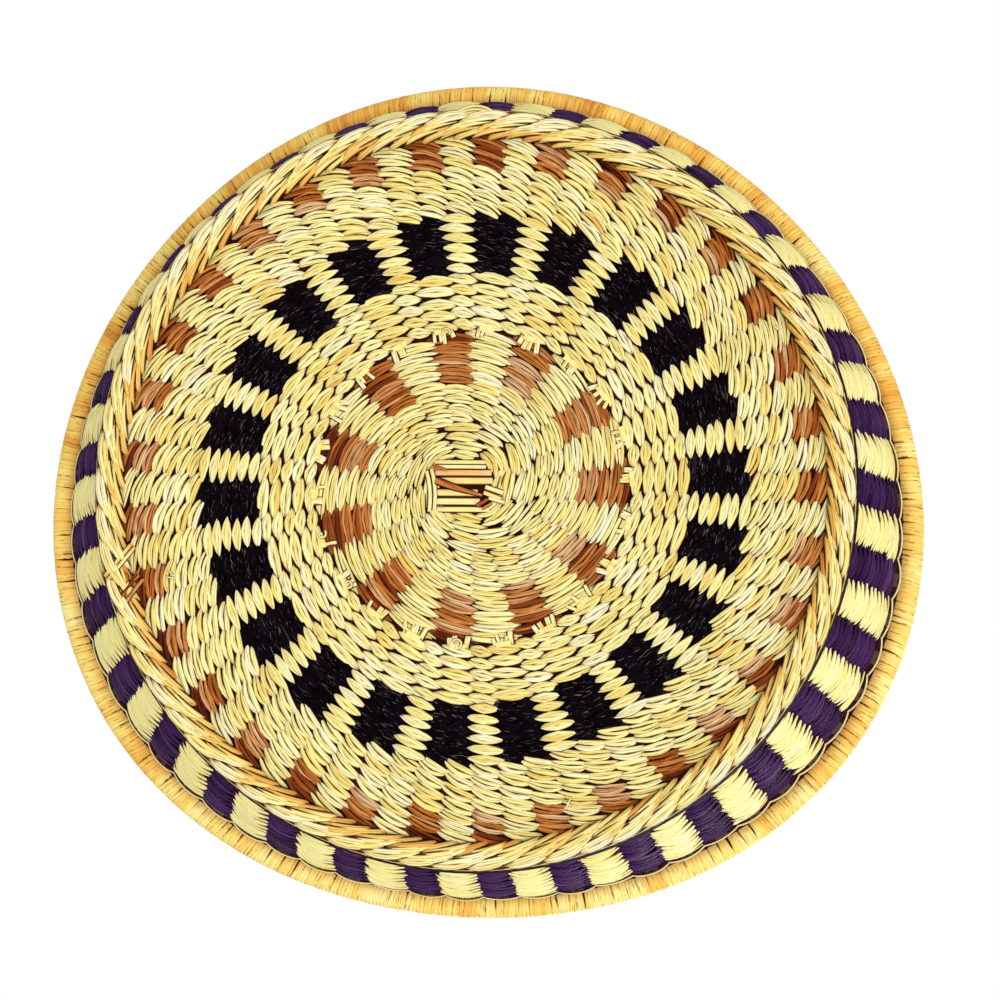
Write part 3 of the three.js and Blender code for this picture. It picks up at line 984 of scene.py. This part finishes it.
def addRim():
    seed = modelTurn()
    shades = np.random.default_rng(rim["seed"])
    x, y, z = seedAxes(seed)
    count = rim["turns"]
    step = 2 * math.pi / count
    centre = (np.arange(count)[:, None] + shades.normal(0, 0.08, (count, 1))) * step
    around = np.arctan2(z, y)
    size = np.hypot(y, z)
    girth = rim["radius"] * (1 + shades.normal(0, 0.006, (count, 1)))
    slit = shades.random((count, 1)) < rim["slits"]
    wide = np.where(slit, rim["slitWidth"], rim["width"])
    radial = girth * size
    tilt = rim["tilt"] + shades.normal(0, rim["tiltJitter"], (count, 1))
    theta = centre + step * (wide * x + tilt * np.sin(around + 0.6))
    radius = rimRadiusAt + radial * np.cos(around)
    height = rimHeight + radial * np.sin(around)
    places = rimPlace(theta, radius, height)
    angle = centre[:, 0]
    # painted light and shade: lighter towards one side of the rim, darker on the far side; the waves
    # are tone
    light = rim["light"] + rim["paintedLightSwing"] * np.cos(angle - math.radians(rim["paintedLightSide"]))
    for waves in rim["waves"]:
        swing = np.sin(waves * angle + shades.uniform(0, 2 * math.pi))
        light = light + rim["waveLight"] * swing
    tone = np.clip(light + shades.normal(0, 0.08, count), 0.02, 1.0)
    tone = np.where(slit[:, 0], tone * 0.7, tone)
    seed["points"] = np.stack([
        np.arctan2(seed["points"][:, 2], seed["points"][:, 1]) / (2 * math.pi) - 0.09,
        seed["points"][:, 0] * 0.9,
        seed["points"][:, 2],
    ], axis=-1)
    copySeed("rim_turns", seed, places, bundleOf(tone), "rimStraw")


def rimPlace(theta, radius, height):
    # the rim's section keeps its shape: only its centre follows the out-of-round
    centre = outOfRound(theta, np.full_like(radius, rimRadiusAt), np.full_like(height, rimHeight))
    aside = radius - rimRadiusAt
    centre[..., 0] += aside * np.cos(theta)
    centre[..., 1] += aside * np.sin(theta)
    centre[..., 2] += height - rimHeight
    return centre


def addRimShadeLiner():
    # a dark liner inside the turns: painted shade, showing through the gaps between them
    section = []
    inner = rim["linerRadius"]
    for k in range(10):
        angle = 2 * math.pi * k / 10
        section.append((rimRadiusAt + inner * math.cos(angle), rimHeight + inner * math.sin(angle)))
    piece = spinRing("rim_shade_ground", section, shadeGroundFinish)
    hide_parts("rim_binding", "rim_hoop")


addRim()
addRimShadeLiner()
print("rim bound")


# Loose straws: each from one point to another, with a bend to the side and a lift

def freeStraws(seed, listed, side=1):
    # each straw: start, end, bend, lift, width, thickness; side 1 lies on the underside
    table = np.array([(*a, *b, *rest) for a, b, *rest in listed])
    start = table[:, None, 0:3]
    end = table[:, None, 3:6]
    bend, lift, width, thickness = (table[:, None, i] for i in range(6, 10))
    x, y, z = (seed["points"][None, :, i:i + 1] for i in range(3))
    along = x + 0.5
    arch = 4 * along * (1 - along)
    facing = np.array([0.0, 0.0, -1.0]) * side
    path = end - start
    steady = path / np.linalg.norm(path, axis=-1, keepdims=True)
    across = np.cross(facing[None, None, :], steady)
    across = across / np.linalg.norm(across, axis=-1, keepdims=True)
    turned = np.cross(steady, across)
    places = start + path * along + across * (bend[..., None] * arch)
    places = places + facing * (lift[..., None] * arch)
    return places + across * (width[..., None] * y) + turned * (thickness[..., None] * z)


def addFree(name, seed, listed, tones, finish, side=1):
    places = freeStraws(seed, listed, side)
    return copySeed(name, seed, places, bundleOf(tones, 1.0, 1.0), finish)


# The start cross: the split straws of the stakes laid across, and what lies over them

start = {
    "bars": [
        # middle of the straw in y, its two ends in x, its width, its tone
        (0.0092, 0.0136, -0.0048, 0.0020, 0.7),
        (0.0075, 0.0136, -0.0050, 0.0020, 0.85),
        (0.0053, 0.0134, -0.0070, 0.0030, 0.12),
        (0.0024, 0.0134, -0.0074, 0.0034, 0.4),
        (-0.0019, 0.0136, -0.0020, 0.0034, 0.5),
        (-0.0051, 0.0136, -0.0028, 0.0033, 0.78),
        (-0.0080, 0.0130, -0.0062, 0.0026, 0.66),
    ],
    "barHeight": 0.0058,
    "barThickness": 0.0011,
    "loose": [(0.0134, 0.0026), (-0.0036, -0.0031), 0.0033],
    "red": [
        ((0.0147, 0.0080), (0.0086, 0.0060), 0.0012),
        ((0.0143, 0.0066), (0.0096, 0.0068), 0.0011),
    ],
    "upright": [
        ((0.0148, 0.0068), (0.0138, -0.0084), 0.0020),
        ((0.0166, 0.0060), (0.0156, -0.0088), 0.0020),
    ],
    "cut": [
        # both ends in x and y, the width, the tone, the finish
        ((-0.0048, 0.0000), (-0.0112, -0.0022), 0.0023, 0.8, "barStraw"),
        ((-0.0042, -0.0020), (-0.0104, -0.0044), 0.0021, 0.5, "barStraw"),
        ((-0.0060, -0.0040), (-0.0116, -0.0056), 0.0018, 0.9, "barStraw"),
        ((-0.0019, -0.0069), (-0.0056, -0.0044), 0.0019, 0.35, "rustStraw"),
        ((-0.0036, -0.0080), (-0.0072, -0.0058), 0.0013, 0.7, "rustStraw"),
    ],
    "inside": {"count": 10, "width": 0.0019, "reach": 0.0112, "height": 0.0109, "seed": 5},
}


def addStart():
    height = start["barHeight"]
    thick = start["barThickness"]
    bars = []
    tones = []
    for place, left, right, width, tone in start["bars"]:
        ending = (right, place - 0.0002, height)
        bars.append(((left, place, height), ending, 0.0, 0.0002, width, thick))
        tones.append(tone)
    for first, second, width in start["upright"]:
        bars.append(((*first, height), (*second, height), 0.0008, 0.0004, width, thick))
        tones.append(0.8)
    addFree("start_bars", barSeed, bars, tones, "barStraw")

    first, second, width = start["loose"]
    places = freeStraws(barSeed, [((*first, height - 0.0008), (*second, height - 0.0006),
                                  -0.0004, 0.0004, width, 0.0009)])
    along = (barSeed["points"][:, 0] + 0.5)[:, None]
    taper = 1 - 0.62 * along ** 1.6
    centre = np.array(first) + (np.array(second) - np.array(first)) * along
    places[0, :, :2] = centre + (places[0, :, :2] - centre) * taper
    loose = copySeed("loose_brown_straw", barSeed, places, bundleOf([0.5], 1.0, 1.0),
                     "rustStraw")
    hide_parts("loose_straw")

    reds = [((*a, height - 0.0008), (*b, height - 0.0008), 0.0, 0.0003, w, 0.0008)
            for a, b, w in start["red"]]
    addFree("start_red_straws", leafSeed, reds, [0.5, 0.62], "rustStraw")
    for name, finish, slot in (("start_cut_pale", "barStraw", "natural_straw"),
                               ("start_cut_brown", "rustStraw", "rust_straw")):
        cuts = [entry for entry in start["cut"] if entry[4] == finish]
        straws = [((*a, height - 0.0009), (*b, height - 0.0002), 0.0, 0.0001, w, 0.0013)
                  for a, b, w, *rest in cuts]
        addFree(name, barSeed, straws, [entry[3] for entry in cuts], finish)

    inside = start["inside"]
    count = inside["count"]
    listed = []
    for k in range(count):
        place = (k - (count - 1) / 2) * inside["width"] * 1.04
        listed.append(((place, -inside["reach"], inside["height"]),
                       (place, inside["reach"], inside["height"]), 0.0, 0.0002,
                       inside["width"], thick))
    chance = np.random.default_rng(inside["seed"])
    addFree("start_bars_inside", barSeed, listed, chance.uniform(0.2, 0.9, count),
            "naturalStraw", -1)


addStart()
print("start laid")


# The curled ends of the added pairs, at the inner disc's edge

curls = {
    "radius": 0.0587,
    "height": 0.0057,
    "places": (-0.0034, -0.0012, 0.0012, 0.0034),
    "missing": 0.22,
    "length": (0.0038, 0.0060),
    "width": (0.0018, 0.0030),
    "sink": 0.0027,
    "looped": 0.25,
    "loop": 0.0019,
    "loopWidth": 0.0011,
    "seed": 41,
}


def addCurls():
    chance = np.random.default_rng(curls["seed"])
    x, y, z = seedAxes(curlSeed)
    along = x + 0.5
    loops = []
    straws = []
    tones = []
    for k in range(ends):
        middle = pairMiddle + 2 * math.pi / ends * k
        outward = np.array([math.cos(middle), math.sin(middle)])
        sideways = np.array([-outward[1], outward[0]])
        for shift in curls["places"]:
            if chance.random() < curls["missing"]:
                continue
            shift = shift + chance.normal(0, 0.0003)
            far = outward * (curls["radius"] + 0.0005) + sideways * shift * 0.8
            length = chance.uniform(*curls["length"])
            near = far - outward * length + sideways * (shift * 0.35 + chance.normal(0, 0.0006))
            far = (*far, curls["height"] + curls["sink"])
            near = (*near, curls["height"] + 0.0001)
            straws.append((far, near, 0.0, 0.0009, chance.uniform(*curls["width"]), 0.0011))
            tones.append(chance.uniform(0.2, 0.95))
        if chance.random() < curls["looped"]:
            spot = outward * (curls["radius"] - 0.0016) + sideways * chance.uniform(-0.003, 0.003)
            loops.append((*spot, chance.uniform(0, 6.3), chance.uniform(3.4, 5.2),
                          curls["loop"] * chance.uniform(0.7, 1.1)))
    addFree("curled_ends", barSeed, straws, tones, "naturalStraw")
    table = np.array(loops)[:, :, None]
    angle = table[:, 2] + table[:, 3] * along
    ring = table[:, 4] * (1 - 0.35 * along) + curls["loopWidth"] * y
    height = curls["height"] - 0.0006 - 0.0005 * along - 0.0009 * z
    places = np.stack([
        table[:, 0] + ring * np.cos(angle),
        table[:, 1] + ring * np.sin(angle),
        height + 0 * ring,
    ], axis=-1)
    tone = chance.uniform(0.15, 0.8, len(loops))
    copySeed("curled_loops", curlSeed, places, bundleOf(tone, 1.0, 1.0), "naturalStraw")


addCurls()
print("ends curled")


# The thin strand looped round outside the stakes, between the wall's top and the rim

loopStrand = {
    "count": 66,
    "far": 0.0021,
    "farJitter": 0.22,
    "aside": 0.0025,
    "width": 0.00048,
    "apart": 0.0008,
    "seed": 7,
}


def addLoopStrand():
    chance = np.random.default_rng(loopStrand["seed"])
    count = loopStrand["count"]
    x, y, z = seedAxes(curlSeed)
    centre = outerStart + cell * np.arange(count)[:, None]
    theta = centre + cell * 1.04 * x
    arch = 1 - (2 * x) ** 2
    far = loopStrand["far"] * (1 + chance.normal(0, loopStrand["farJitter"], (count, 1)))
    width = loopStrand["width"]
    apart = loopStrand["apart"]
    layers = []
    for step, side in ((0.0, 1), (apart, 1), (0.0, -1), (apart, -1)):
        distance = step + far * arch + width * y
        aside = side * (loopStrand["aside"] - step * 0.4 + width * z)
        radius, height = aboveWall(distance, aside)
        layers.append(outOfRound(theta, radius, height))
    places = np.concatenate(layers)
    tone = chance.uniform(0.6, 1.0, len(places))
    piece = copySeed("edge_loops", curlSeed, places, bundleOf(tone), "naturalStraw")
    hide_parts("edge_strand")


addLoopStrand()
print("edge looped")


# The plaited foot

plait = {
    # for each tier: where it starts and ends, its sweep and start in cells, width, sink, tone;
    # the deeper tiers get darker tones, painted shade under the tiers above them
    "tiers": {
        "under": (0.1278, 0.1316, 1.3, 0.46, 0.0040, 0.0016, 0.3),
        "inner": (0.1286, 0.1324, 1.36, 0.00, 0.0044, 0.0007, 0.56),
        "middle": (0.1308, 0.1346, 1.38, 0.36, 0.0044, 0.0003, 0.74),
        "outer": (0.1330, 0.1360, 1.4, 0.70, 0.0044, 0.0001, 0.9),
    },
    "edge": {"count": 132, "radius": 0.1373, "low": 0.0026, "high": 0.0062, "sweep": 1.5,
             "width": 0.0038, "light": 0.62},
    # radius and height of the dark ground's section: painted shade round and between the leaves
    "section": [(0.1288, 0.0040), (0.1296, 0.0058), (0.1340, 0.0068), (0.1384, 0.0094),
                (0.1392, 0.0086), (0.1368, 0.0062), (0.1366, 0.0040), (0.1352, 0.0021),
                (0.1315, 0.0021)],
    "leaves": 66,
    "bulge": 0.0005,
    "straws": 2,
    "thickness": 0.0017,
    "tieAngle": -11.8,
    "tieRise": 0.001,
    "tipRise": 0.0019,
    "toneJitter": (0.1, 0.14),
    "seed": 31,
}


def footSurface(radius):
    # height of the foot's underside, rounded off at both edges
    inner = np.clip((0.1304 - radius) / 0.003, 0, 1.2)
    outer = np.clip((radius - 0.1355) / 0.003, 0, 1.2)
    return 0.0028 * inner ** 2 + 0.0024 * outer ** 2


def plaitStraws(seed, listed):
    names = ("turn", "sweep", "from", "to", "offset", "width", "sink", "tone")
    table = np.array(listed)
    straw = {name: table[:, i:i + 1] for i, name in enumerate(names)}
    x, y, z = seedAxes(seed)
    along = x + 0.5
    away = np.abs(2 * x)
    theta = straw["turn"] + straw["sweep"] * along
    gather = 0.16 + 0.84 * np.maximum(0, 1 - away ** 2.2)
    radius = straw["from"] + (straw["to"] - straw["from"]) * (1.4 * along - 0.4 * along ** 2.2)
    radius = radius + plait["bulge"] * (1 - away ** 2)
    radius = radius + straw["offset"] * gather + straw["width"] * y
    tied = np.exp(-((theta - math.radians(plait["tieAngle"])) / 0.05) ** 2)
    height = footSurface(radius) + plait["thickness"] / 2 + straw["sink"] + plait["tieRise"] * tied
    height = height + plait["tipRise"] * away ** 2.6 + 0.0004 * x - plait["thickness"] * z
    return outOfRound(theta, radius, np.maximum(height, 0.0001))


def addPlait():
    chance = np.random.default_rng(plait["seed"])
    for tier, (near, far, sweep, shift, width, sink, light) in plait["tiers"].items():
        listed = []
        sides = []
        for k in range(plait["leaves"]):
            turn = outerStart + cell * (k + 0.55 + shift + chance.normal(0, 0.04))
            glow = chance.normal(0, plait["toneJitter"][0])
            number = plait["straws"]
            for j in range(number):
                place = (j - (number - 1) / 2) / number
                listed.append((
                    turn + place * 0.12 * cell + chance.normal(0, 0.02) * cell,
                    cell * sweep * chance.uniform(0.95, 1.04),
                    near, far,
                    width * place * 1.02,
                    width / number * 1.2 * chance.uniform(0.92, 1.08),
                    sink + chance.uniform(-0.00015, 0.00015),
                    np.clip(light + glow + chance.normal(0, plait["toneJitter"][1]), 0, 1),
                ))
                sides.append((float(j == 0), float(j == number - 1)))
        sides = np.array(sides)
        places = plaitStraws(pillowSeed, listed)
        bundle = bundleOf([entry[7] for entry in listed], sides[:, 0], sides[:, 1])
        copySeed(f"foot_plait_{tier}", pillowSeed, places, bundle, "plaitStraw")


def addPlaitEdge():
    # the leaves that turn up round the outer side of the foot
    edge = plait["edge"]
    chance = np.random.default_rng(plait["seed"] + 1)
    x, y, z = seedAxes(pillowSeed)
    count = edge["count"]
    turn = outerStart + cell * (np.arange(count)[:, None] / 2 + chance.normal(0, 0.04, (count, 1)))
    theta = turn + cell * edge["sweep"] * x
    rise = edge["low"] + (edge["high"] - edge["low"]) * (x + 0.5)
    height = rise + edge["width"] / 2 * chance.uniform(0.9, 1.1, (count, 1)) * y
    radius = edge["radius"] - 0.0009 * np.abs(2 * x) ** 2.4 + 0.0015 * z
    places = outOfRound(theta, radius, height)
    tone = np.clip(edge["light"] + chance.normal(0, 0.16, count), 0, 1)
    copySeed("foot_plait_edge", pillowSeed, places, bundleOf(tone, 1.0, 1.0), "plaitStraw")


addPlait()
addPlaitEdge()
plaitShadeGround = spinRing("foot_plait_shade_ground", plait["section"], shadeFinish)
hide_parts("foot_plait")
print("foot plaited")


# Where the plait is tied off, the strand that bulges out of it, and stray cut ends

# every tie straw: its two ends, its width and its tone
strays = {
    "tie": [
        ((0.1336, -0.0322), (0.1242, -0.0204), 0.0019, 0.55),
        ((0.1323, -0.0333), (0.1229, -0.0215), 0.0019, 0.7),
    ],
    "tieBrown": [
        ((0.1212, -0.0318), (0.1282, -0.0436), 0.0016, 0.5),
        ((0.1196, -0.0330), (0.1268, -0.0430), 0.0018, 0.8),
        ((0.1222, -0.0300), (0.1300, -0.0410), 0.0014, 0.15),
        ((0.1290, -0.0300), (0.1262, -0.0362), 0.0014, 0.6),
    ],
    "bulge": [(0.0088, 0.1338), (-0.0118, 0.1336), 0.0052, 0.0014],
    "ends": [((-0.0331, -0.1128), (-0.0352, -0.1146)), ((-0.0352, -0.1122), (-0.0340, -0.1150)),
             ((0.1110, -0.0300), (0.1090, -0.0318)), ((0.1122, -0.0322), (0.1086, -0.0328)),
             ((-0.1110, 0.0560), (-0.1092, 0.0574)), ((0.0420, 0.1030), (0.0444, 0.1034))],
}


def addStrays():
    # the two ends of each straw, its bend, lift, width and thickness
    tie = [((*a, 0.0012), (*b, 0.0024), 0.0, 0.0004, w, 0.0009) for a, b, w, tone in strays["tie"]]
    addFree("tie_off_straws", barSeed, tie, [entry[3] for entry in strays["tie"]], "plaitStraw")
    brown = [((*a, 0.0030), (*b, 0.0016), 0.0012 * (k - 1), 0.0010, w, 0.0012)
             for k, (a, b, w, tone) in enumerate(strays["tieBrown"])]
    addFree("tie_off_brown", pillowSeed, brown, [entry[3] for entry in strays["tieBrown"]],
            "rustStraw")
    first, second, reach, width = strays["bulge"]
    bulge = [((*first, 0.0022), (*second, 0.0022), reach - 0.0012 * k, 0.0004, width, 0.0013)
             for k in range(3)]
    addFree("plait_bulge", curlSeed, bulge, [0.8, 0.7, 0.6], "plaitStraw")
    stray = [((*a, 0.0056), (*b, 0.0050), 0.0, 0.0002, 0.0009, 0.0007) for a, b in strays["ends"]]
    addFree("stray_ends", barSeed, stray, [0.95, 0.9, 0.7, 0.8, 0.9, 0.85], "naturalStraw")


addStrays()
print("strays added")
